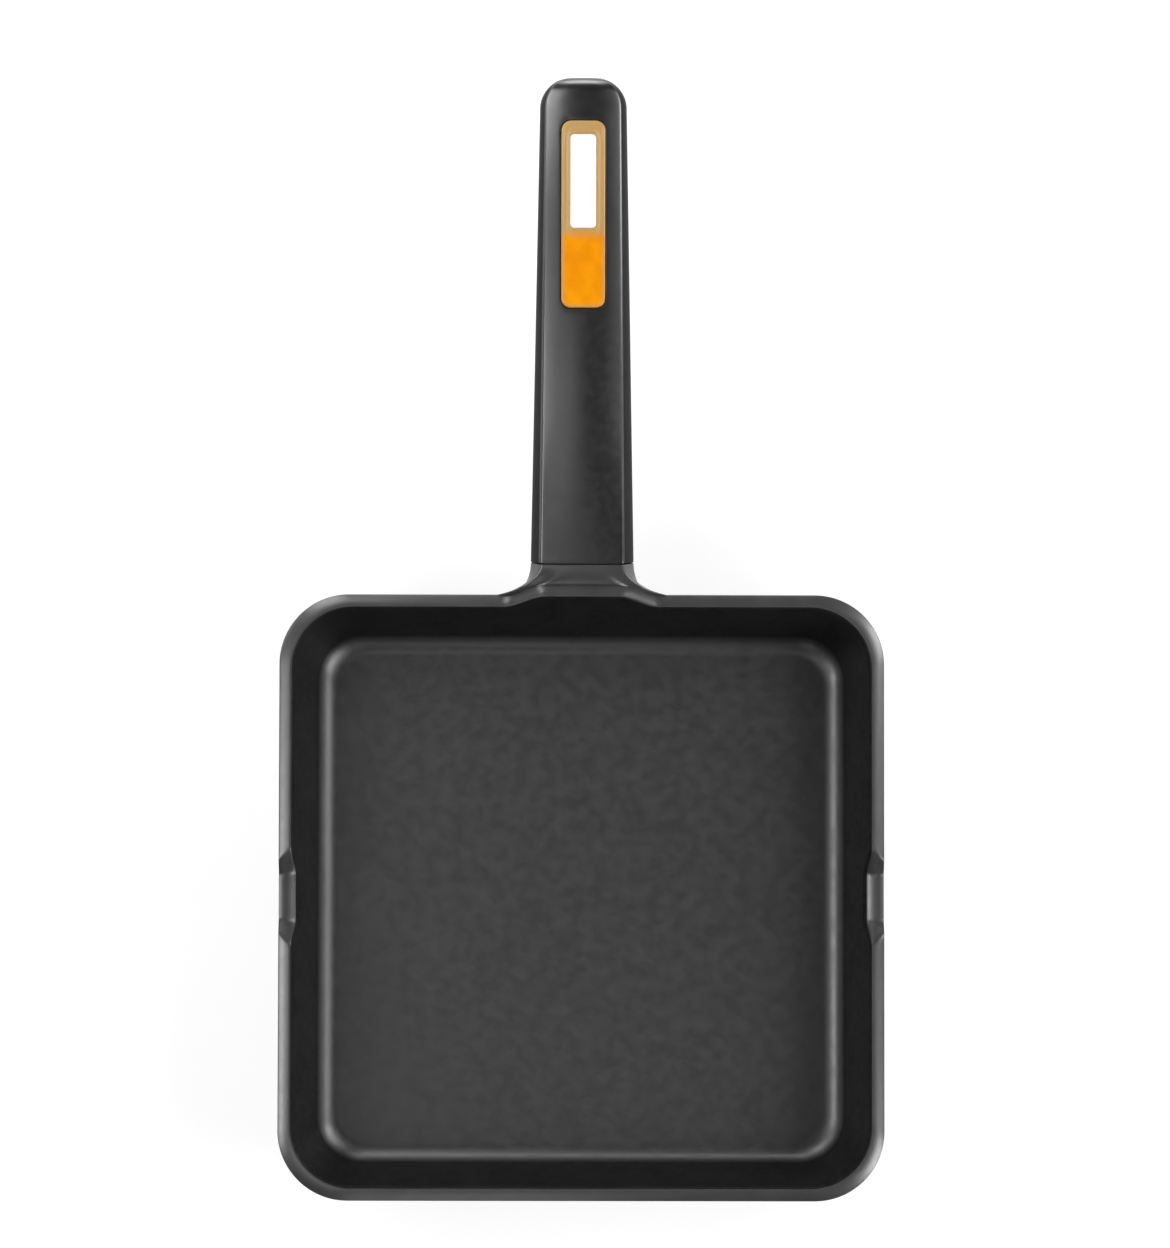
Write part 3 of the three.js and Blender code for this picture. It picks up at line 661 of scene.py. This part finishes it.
def base_plate():
    """The plate as square cells with a hole in each, and a border out to the rounded outline.

    A cell's rows run from its square edge over the lower face to the hole, up the hole and back over the
    upper face. All cells are shifted copies of one array. The border is a band from the edge of their block
    over the upper face, down the plate's edge and back, and the middle cell has no hole."""
    skin = Skin()
    low, high = plate_low.z, plate_high.z
    low_edge, high_edge = low + plate_chamfer, high - plate_chamfer
    square = square_outline(hole_pitch / 2, sharp_corner, hole_steps)
    mouth = square_outline(hole_radius + plate_chamfer, hole_radius + plate_chamfer, hole_steps)
    hole = square_outline(hole_radius, hole_radius, hole_steps)
    outlines = [square, mouth, hole, hole, mouth, square]
    cell = at_levels(outlines, [low, low, low_edge, high_edge, high, high])

    places = (np.arange(holes_per_side) - (holes_per_side - 1) / 2) * hole_pitch
    x, y = np.meshgrid(places, places)
    centres = np.stack([x, y, np.zeros_like(x)], axis=2).reshape(-1, 3)
    centres = centres[np.abs(centres).max(axis=1) > hole_pitch / 2]
    cells = cell[None] + centres[:, None, None]
    rows = skin.rows(cells.reshape(-1, *cell.shape[1:]))
    within_cell = np.arange(len(rows) - 1) % len(cell) != len(cell) - 1
    skin.band(rows, within_cell[:, None])

    side_steps = hole_steps * holes_per_side
    block = square_outline(hole_pitch * holes_per_side / 2, sharp_corner, side_steps)
    face = square_outline(plate_half - plate_chamfer, plate_corner_radius - plate_chamfer, side_steps)
    edge = square_outline(plate_half, plate_corner_radius, side_steps)
    outlines = [block, face, edge, edge, face, block]
    skin.band(skin.rows(at_levels(outlines, [high, high, high_edge, low_edge, low, low])))
    faces = skin.rows(at_levels([square, square], [low, high]))
    skin.close(faces[0])
    skin.close(faces[1], backwards=True)
    skin.weld()
    return skin.piece("base_plate_punched", plate_crease)


def turned_steel():
    """Stainless steel faced on a lathe: fine rings about the middle that vary its gloss and catch light."""
    material, tree, shader = finish("turned_steel", Metallic=1)
    level = tree.nodes.new("ShaderNodeVectorMath")
    level.operation = "MULTIPLY"
    level.inputs[1].default_value = (1, 1, 0)
    radius = tree.nodes.new("ShaderNodeVectorMath")
    radius.operation = "LENGTH"
    rings = tree.nodes.new("ShaderNodeTexNoise")
    rings.noise_dimensions = "1D"
    rings.inputs["Scale"].default_value = 1 / (0.5 * MM)
    rings.inputs["Detail"].default_value = 3
    tree.links.new(own_place(tree), level.inputs[0])
    tree.links.new(level.outputs["Vector"], radius.inputs[0])
    tree.links.new(radius.outputs["Value"], rings.inputs["W"])
    line = rings.outputs["Fac"]
    colour = blend_colours(tree, spread(tree, line), steel_dark, steel_pale)
    tree.links.new(colour, shader.inputs["Base Color"])
    tree.links.new(spread(tree, line, *steel_roughness), shader.inputs["Roughness"])
    relief(tree, shader, (line, 0.02 * MM))
    return material


plate = base_plate()
plate.data.materials.append(turned_steel())
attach(plate, "root")
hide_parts("base_plate")

# Fixing
# A threaded bush cast into the tenon, a long socket-head screw through the handle, and a spring washer on a
# flat washer under its head. All are zinc plated steel, turned or stamped, and closed in by the insert.
zinc_dark = (0.50, 0.51, 0.53)
zinc_pale = (0.64, 0.65, 0.66)
zinc_roughness = (0.28, 0.44)


def zinc_plate():
    """Bright zinc plating: bluish pale metal with faint drawn lines and slightly cloudy gloss."""
    material, tree, shader = finish("zinc_plate", Metallic=1)
    cloud = spread(tree, grain(tree, size=3 * MM, detail=3))
    tree.links.new(blend_colours(tree, cloud, zinc_dark, zinc_pale), shader.inputs["Base Color"])
    lines = grain(tree, size=0.4 * MM, detail=2, stretch=(1, 12, 1))
    tree.links.new(spread(tree, lines, *zinc_roughness), shader.inputs["Roughness"])
    return material


zinc = zinc_plate()
for name in ("threaded_bush", "flat_washer", "spring_washer", "handle_screw"):
    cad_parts[name].material_slots[0].material = zinc

# Handle grip
# A solid phenolic moulding with a crowned top face, crisp edges and a full rounded underside. It slides
# over the tenon up to the seam, and its pocket takes the hanging insert and lets the screw in.
insert_low, insert_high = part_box("hang_insert")
insert_half_width = insert_high.x
insert_corner_radius = 3.6 * MM
hole_near = 252 * MM
hole_far = 287.4 * MM
hole_half_width = 4.85 * MM
liner_wall = 3.6 * MM
liner_ledge = 0.3 * MM
pocket_floor = 4 * MM
pocket_round = 0.4 * MM
opening_start = 86 * MM
run_steps = 24
opening_steps = 26
tip_steps = 16
opening_tip_steps = 2
opening_margin = 3
pocket_round_steps = 5
top_face_shares = (0.4, 0.75, 1)
underside_shares = (0.6, 0.25)
pocket_top_rows = len(top_face_shares) + pocket_round_steps
height_corrections = 8
screw_seat = 46 * MM
screw_hole_radius = 3.3 * MM
washer_hole_radius = 6.3 * MM
screw_mouth = insert_low.y + 3 * MM
phenolic_dark = (0.009, 0.009, 0.0093)
phenolic_pale = (0.013, 0.013, 0.0133)
phenolic_roughness = (0.28, 0.33)
top_sheen = 0.97
side_sheen = 0.1


def grip_height(x, y, top):
    """Height of the grip's top or underside straight above plan points.

    The distance along the handle is found by correcting it, a few times, by what the point misses y by."""
    s = y - root_y
    for _ in range(height_corrections):
        half, edge, arch, thick, edge_up, widest_up = handle_sizes(s)
        crowned = edge_up + arch * (1 - (x / edge) ** 2)
        up = crowned if top else underside(x, half, thick, widest_up)
        line_y, line_z, slope = spine(s)
        s = s + (y - line_y + up * np.sin(slope)) / np.cos(slope)
    return line_z + up * np.cos(slope)


def plan_oblong(half_width, near, far, radius, grow, steps):
    """A rounded oblong along the handle, seen from above, grown on all sides, as a pair of x and y."""
    half_length = (far - near) / 2 + grow
    x, y = round_oblong(half_width + grow, half_length, radius + grow, *steps)
    return np.array([x, y + (near + far) / 2])


def raised(outline, height):
    """A row of points from a plan outline and a height for each of its points."""
    return np.stack([*outline, height + 0 * outline[0]], axis=1)


def block_loop(rows, near, far, right, left):
    """Point numbers round a block of a grid: near row right to left, left column, far row, right column."""
    turn = 1 if left > right else -1
    columns = np.arange(right, left, turn)
    near_row = rows[near, columns]
    left_side = rows[near:far, left]
    far_row = rows[far, columns + turn][::-1]
    right_side = rows[far:near:-1, right]
    return np.concatenate([near_row, left_side, far_row, right_side])


def pocket_rows(top_loop, low_loop, steps):
    """Rows of the pocket that goes through the grip, from the loop on its top face to the one below.

    Rows close in over the top face, turn over a rounded edge, go down to the pocket's floor, in over it to
    the liner's opening, down through that and over another rounded edge, and out over the underside."""
    near, far = insert_low.y - fit, insert_high.y + fit
    liner_near = hole_near - liner_wall - fit
    half_width = insert_half_width + fit
    radius = insert_corner_radius + fit

    def pocket(grow):
        return plan_oblong(half_width, near, far, radius, grow, steps)

    def liner(grow):
        return plan_oblong(half_width, liner_near, far, radius, grow - liner_ledge, steps)

    rows = []
    for share in top_face_shares:
        outline = mix(top_loop[:, :2].T, pocket(pocket_round), share)
        rows.append(raised(outline, grip_height(*outline, True)))
    for turn in quarter_turn(pocket_round_steps)[1:]:
        outline = pocket(pocket_round * (1 - np.sin(turn)))
        rows.append(raised(outline, grip_height(*outline, True) - pocket_round * (1 - np.cos(turn))))
    for outline in (pocket(0), liner(0)):
        rows.append(raised(outline, grip_height(*outline, False) + pocket_floor))
    for turn in quarter_turn(pocket_round_steps):
        outline = liner(pocket_round * (1 - np.cos(turn)))
        rows.append(raised(outline, grip_height(*outline, False) + pocket_round * (1 - np.sin(turn))))
    for share in underside_shares:
        outline = mix(low_loop[:, :2].T, liner(pocket_round), share)
        rows.append(raised(outline, grip_height(*outline, False)))
    return np.array(rows)


def grip_form():
    """The moulding: the handle's section carried from the seam to the tip, with the pocket through it.

    The attribute side is 0 on the top face and its edge rounds, and 1 on the sides and below."""
    skin = Skin()
    turn = quarter_turn(seam_steps)
    start = fit + seam_round
    tip_start = handle_length - tip_plan_radius
    run = np.linspace(start, opening_start, run_steps + 1)[1:]
    along = np.linspace(opening_start, tip_start, opening_steps + 1)[1:]
    tip = tip_start + tip_plan_radius * np.sin(quarter_turn(tip_steps))[1:]
    stations = np.concatenate([fit + seam_round * (1 - np.cos(turn)), run, along, tip])
    insets = np.zeros(len(stations))
    insets[: len(turn)] = seam_round * (1 - np.sin(turn))
    rows = skin.rows(handle_section(stations, insets))

    near = len(turn) + run_steps - 1
    far = near + opening_steps + opening_tip_steps
    low_right, low_left = opening_margin, across_steps - opening_margin
    top_left = across_steps + upright_steps + opening_margin
    top_right = top_left + across_steps - 2 * opening_margin
    row = np.arange(len(rows) - 1)[:, None]
    column = np.arange(rows.shape[1])
    below = (column >= low_right) & (column < low_left)
    above = (column >= top_left) & (column < top_right)
    skin.band(rows, ~((row >= near) & (row < far) & (below | above)))
    skin.close(rows[0], backwards=True)
    skin.close(rows[-1])

    top_loop = block_loop(rows, near, far, top_right, top_left)
    low_loop = block_loop(rows, near, far, low_right, low_left)
    steps = (across_steps - 2 * opening_margin, far - near)
    pocket = skin.rows(pocket_rows(skin.points[top_loop], skin.points[low_loop], steps))
    skin.band(np.concatenate([top_loop[None], pocket, low_loop[None]])[:, ::-1])
    side = np.zeros(len(skin.points))
    top_start = across_steps + upright_steps
    top_face = slice(top_start - round_steps, top_start + across_steps + round_steps)
    side[np.delete(rows, top_face, axis=1)] = 1
    side[pocket[pocket_top_rows:]] = 1
    return skin.piece("handle_grip_moulding", side=side)


def screw_way():
    """What the moulding leaves free along the screw: the tenon's socket, the screw's hole and the washers'.
    An odd number of steps keeps its points off the grip's middle line."""
    skin = Skin()
    steps = (across_steps + 1, upright_steps)
    sides = (tenon_half_width + fit, tenon_half_height + fit)
    socket = round_oblong(*sides, tenon_corner_radius + fit, *steps)
    hole = round_oblong(screw_hole_radius, screw_hole_radius, screw_hole_radius, *steps)
    wide = round_oblong(washer_hole_radius, washer_hole_radius, washer_hole_radius, *steps)
    depth = tenon_length + fit
    axis = np.array([0, np.cos(handle_slope), np.sin(handle_slope)])
    root = np.array([0, root_y, root_z])
    across = np.array([[1, 0, 0], [0, -axis[2], axis[1]]])
    mouth = (screw_mouth - root_y) / axis[1]
    stops = [(socket, -fit), (socket, depth), (hole, depth)]
    stops += [(hole, screw_seat), (wide, screw_seat), (wide, mouth)]
    rows = skin.rows(np.array([root + np.transpose(outline) @ across + s * axis for outline, s in stops]))
    skin.band(rows)
    skin.close(rows[0], backwards=True)
    skin.close(rows[-1])
    return skin.piece("screw_way")


def cut(thing, tool):
    """Takes the tool's form out of a piece for good, and removes the tool."""
    modifier = thing.modifiers.new("cut", "BOOLEAN")
    modifier.object = tool
    modifier.operation = "DIFFERENCE"
    modifier.solver = "EXACT"
    bpy.context.view_layer.update()
    result = thing.evaluated_get(bpy.context.evaluated_depsgraph_get())
    mesh = bpy.data.meshes.new_from_object(result)
    thing.modifiers.clear()
    thing.data = mesh
    mesh.set_sharp_from_angle(angle=crease_angle)
    bpy.data.objects.remove(tool)


def phenolic():
    """Satin black phenolic: a very fine moulded grain, faintly uneven gloss, and duller on the sides."""
    material, tree, shader = finish("phenolic", IOR=1.63)
    sheen = spread(tree, point_value(tree, "side"), top_sheen, side_sheen, start=0, end=1)
    tree.links.new(sheen, shader.inputs["Specular IOR Level"])
    cloud = spread(tree, grain(tree, size=9 * MM, detail=4))
    tree.links.new(blend_colours(tree, cloud, phenolic_dark, phenolic_pale), shader.inputs["Base Color"])
    roughness = spread(tree, grain(tree, size=3 * MM, detail=4), *phenolic_roughness)
    tree.links.new(roughness, shader.inputs["Roughness"])
    relief(tree, shader, (grain(tree, size=0.35 * MM, detail=2), 0.01 * MM))
    return material


grip = grip_form()
cut(grip, screw_way())
grip.data.materials.append(phenolic())
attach(grip, "root")
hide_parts("handle_grip")

# Hanging insert
# An orange plastic moulding pressed into the pocket: a liner round the hanging hole, right through the
# handle, and a solid panel beside it that covers the screw. A low rounded lip runs round panel and hole.
insert_proud = 0.5 * MM
insert_round = 0.5 * MM
lip_width = 1.1 * MM
lip_slope = 0.5 * MM
field_depth = 0.35 * MM
hole_corner_radius = 1.5 * MM
hole_draft = 1.6 * MM
panel_lip_share = 0.5
insert_steps = (30, 60)
insert_round_steps = 6
field_shares = (0.15, 0.35, 0.65, 0.85)
panel_dark = (0.82, 0.27, 0.002)
panel_pale = (0.90, 0.32, 0.003)
# A paler, duller orange laid on the lips and all round the hole.
pale_lip = (0.52, 0.315, 0.105)
panel_sheen = 0.05
lip_sheen = 0.7
plastic_roughness = (0.36, 0.46)


def hang_insert():
    """The moulding as one closed band of rows: over the top from the hole to the outline, down the outside,
    in below the panel and round the liner's lower end, and up the hole.

    The attribute lip is 1 beside the hole, and on the panel its lip's share on the lip and 0 inside."""
    skin = Skin()
    liner_near = hole_near - liner_wall
    field = insert_proud - field_depth
    inset = lip_width + lip_slope

    def hole(grow, draft=0):
        sides = (hole_half_width, hole_near, hole_far + draft, hole_corner_radius)
        return plan_oblong(*sides, grow, insert_steps)

    def outline(grow):
        sides = (insert_half_width, insert_low.y, insert_high.y, insert_corner_radius)
        return plan_oblong(*sides, grow, insert_steps)

    def liner(grow):
        sides = (insert_half_width, liner_near, insert_high.y, insert_corner_radius)
        return plan_oblong(*sides, grow - liner_ledge, insert_steps)

    rows = []
    lips = []

    def add(plan, top, height, lip):
        rows.append(raised(plan, grip_height(*plan, top) + height))
        lips.append(lip)

    turns = quarter_turn(insert_round_steps)
    for turn in turns:
        plan = hole(insert_round * (1 - np.cos(turn)))
        add(plan, True, insert_proud - insert_round * (1 - np.sin(turn)), 1)
    add(hole(lip_width), True, insert_proud, 1)
    add(hole(inset), True, field, 0)
    for share in field_shares:
        add(mix(hole(inset), outline(-inset), share), True, field, 0)
    add(outline(-inset), True, field, 0)
    add(outline(-lip_width), True, insert_proud, 1)
    for turn in turns:
        plan = outline(insert_round * (np.sin(turn) - 1))
        add(plan, True, insert_proud - insert_round * (1 - np.cos(turn)), 1)
    add(outline(0), False, pocket_floor + fit, 0)
    add(liner(0), False, pocket_floor + fit, 0)
    for turn in turns:
        plan = liner(insert_round * (np.cos(turn) - 1))
        add(plan, False, insert_proud + insert_round * (1 - np.sin(turn)), 0)
    for turn in turns:
        plan = hole(insert_round * (1 - np.sin(turn)), hole_draft)
        add(plan, False, insert_proud + insert_round * (1 - np.cos(turn)), 0)
    grid = np.array(rows)
    numbers = skin.rows(grid)
    skin.band(np.concatenate([numbers, numbers[:1]]))
    beside_hole = smooth(grid[:, :, 1], liner_near, hole_near)
    lip = mix(panel_lip_share * np.array(lips)[:, None], 1, beside_hole)
    return skin.piece("hang_insert_moulding", lip=lip)


def orange_plastic():
    """Orange plastic with a fine moulded grain: matt on the panel, a paler, duller orange and satin along
    the lips.
    """
    material, tree, shader = finish("orange_plastic")
    # How much of the paler lip colour and its satin sheen a point takes, from the lip attribute.
    lip_paleness = spread(tree, point_value(tree, "lip"), start=0, end=1)
    cloud = spread(tree, grain(tree, size=7 * MM, detail=3))
    field = blend_colours(tree, cloud, panel_dark, panel_pale)
    tree.links.new(blend_colours(tree, lip_paleness, field, pale_lip), shader.inputs["Base Color"])
    sheen = spread(tree, lip_paleness, panel_sheen, lip_sheen, start=0, end=1)
    tree.links.new(sheen, shader.inputs["Specular IOR Level"])
    roughness = spread(tree, grain(tree, size=2 * MM, detail=3), *plastic_roughness)
    tree.links.new(roughness, shader.inputs["Roughness"])
    relief(tree, shader, (grain(tree, size=0.4 * MM, detail=2), 0.008 * MM))
    return material


insert = hang_insert()
insert.data.materials.append(orange_plastic())
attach(insert, "root")
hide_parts("hang_insert")

# Studio
# A plain white table in a dim room, and soft boxes round the pan, strongest low on the right and the left,
# with two small ones close by. The camera looks almost straight down, as a long lens from far above.
table_half = 4.0
table_gap = 0.2 * MM
paper_tone = (0.3, 0.3, 0.3)
paper_glow = 0.8
room_level = 0.02
lit_middle = np.array([0, 30, 30]) * MM
view_tilt = np.radians(3.4)
view_lean = np.radians(0.5)
view_roll = np.radians(0.1)
view_distance = 2.5
view_height = 474.5 * MM
view_centre = np.array([1.4, 103.7, 38]) * MM
sensor = 36.0


def number_node(tree, operation, first, second):
    """The result of a Math node; each value is a number or a socket."""
    node = tree.nodes.new("ShaderNodeMath")
    node.operation = operation
    for socket, value in zip(node.inputs, (first, second)):
        if isinstance(value, bpy.types.NodeSocket):
            tree.links.new(value, socket)
        else:
            socket.default_value = value
    return node.outputs["Value"]


def white_table():
    """White paper that still takes the pan's shadow; what the camera sees of it is lifted to white."""
    material, tree, shader = finish("white_table", Roughness=0.9, Specular_IOR_Level=0.1)
    shader.inputs["Base Color"].default_value = (*paper_tone, 1)
    path = tree.nodes.new("ShaderNodeLightPath")
    seen = number_node(tree, "MAXIMUM", path.outputs["Is Camera Ray"], path.outputs["Is Glossy Ray"])
    seen = number_node(tree, "MAXIMUM", seen, path.outputs["Is Transmission Ray"])
    glow = tree.nodes.new("ShaderNodeEmission")
    tree.links.new(number_node(tree, "MULTIPLY", seen, paper_glow), glow.inputs["Strength"])
    both = tree.nodes.new("ShaderNodeAddShader")
    tree.links.new(shader.outputs["BSDF"], both.inputs[0])
    tree.links.new(glow.outputs["Emission"], both.inputs[1])
    tree.links.new(both.outputs["Shader"], tree.nodes["Material Output"].inputs["Surface"])
    return material


def soft_box(name, zenith, azimuth, radiance, distance=0.8, width=0.28, height=0.28):
    """An oblong lamp turned to the pan, its height upright, whose face shows the given radiance. Its
    direction from the lit middle is in degrees from straight up and in degrees from +X towards +Y."""
    lamp = bpy.data.lights.new(name, "AREA")
    lamp.shape = "RECTANGLE"
    lamp.size = width
    lamp.size_y = height
    lamp.energy = radiance * np.pi * width * height
    box = bpy.data.objects.new(name, lamp)
    down, around = np.radians([zenith, azimuth])
    towards = np.array([np.sin(down) * np.cos(around), np.sin(down) * np.sin(around), np.cos(down)])
    box.location = lit_middle + distance * towards
    box.visible_camera = False
    box.rotation_mode = "QUATERNION"
    box.rotation_quaternion = Vector(-towards).to_track_quat("-Z", "Y")
    bpy.context.scene.collection.objects.link(box)


def dim_room():
    """Weak even light from all round, so that nothing is black where no soft box reaches."""
    world = bpy.data.worlds.new("dim_room")
    bpy.context.scene.world = world
    world.use_nodes = True
    sky = world.node_tree.nodes["Background"]
    sky.inputs["Color"].default_value = (1, 1, 1, 1)
    sky.inputs["Strength"].default_value = room_level


paper = Skin()
corners = np.array([[1, -1, 0], [1, 1, 0], [-1, 1, 0], [-1, -1, 0]]) * table_half
paper.close(paper.rows((corners - [0, 0, table_gap])[None])[0])
table = paper.piece("table")
table.data.materials.append(white_table())
dim_room()
soft_box("overhead", zenith=20, azimuth=225, radiance=1.2, distance=2.0, width=0.7, height=0.7)
soft_box("left_upper", zenith=38, azimuth=180, radiance=2.5)
soft_box("left_lower", zenith=55, azimuth=188, radiance=6, width=0.34)
soft_box("left_back", zenith=70, azimuth=150, radiance=3)
soft_box("right_upper", zenith=38, azimuth=0, radiance=0.4)
soft_box("right_front", zenith=62, azimuth=330, radiance=8.5, height=0.5)
soft_box("right_back", zenith=62, azimuth=26, radiance=7.5, width=0.31, height=0.5)
soft_box("back_low", zenith=82, azimuth=90, radiance=6)
soft_box("back_close", zenith=62, azimuth=120, radiance=5, distance=0.42, width=0.12, height=0.24)
soft_box("front_close", zenith=62, azimuth=262, radiance=0.9, distance=0.42, width=0.12, height=0.25)

lens = bpy.data.cameras.new("camera")
lens.sensor_width = sensor
lens.lens = sensor * view_distance / view_height
camera = bpy.data.objects.new("camera", lens)
back = np.array([-np.tan(view_lean), -np.tan(view_tilt), 1])
camera.location = view_centre + view_distance * back / np.linalg.norm(back)
camera.rotation_euler = (view_tilt, -view_lean, view_roll)
bpy.context.scene.collection.objects.link(camera)
bpy.context.scene.camera = camera
bpy.context.scene.view_settings.view_transform = "Standard"
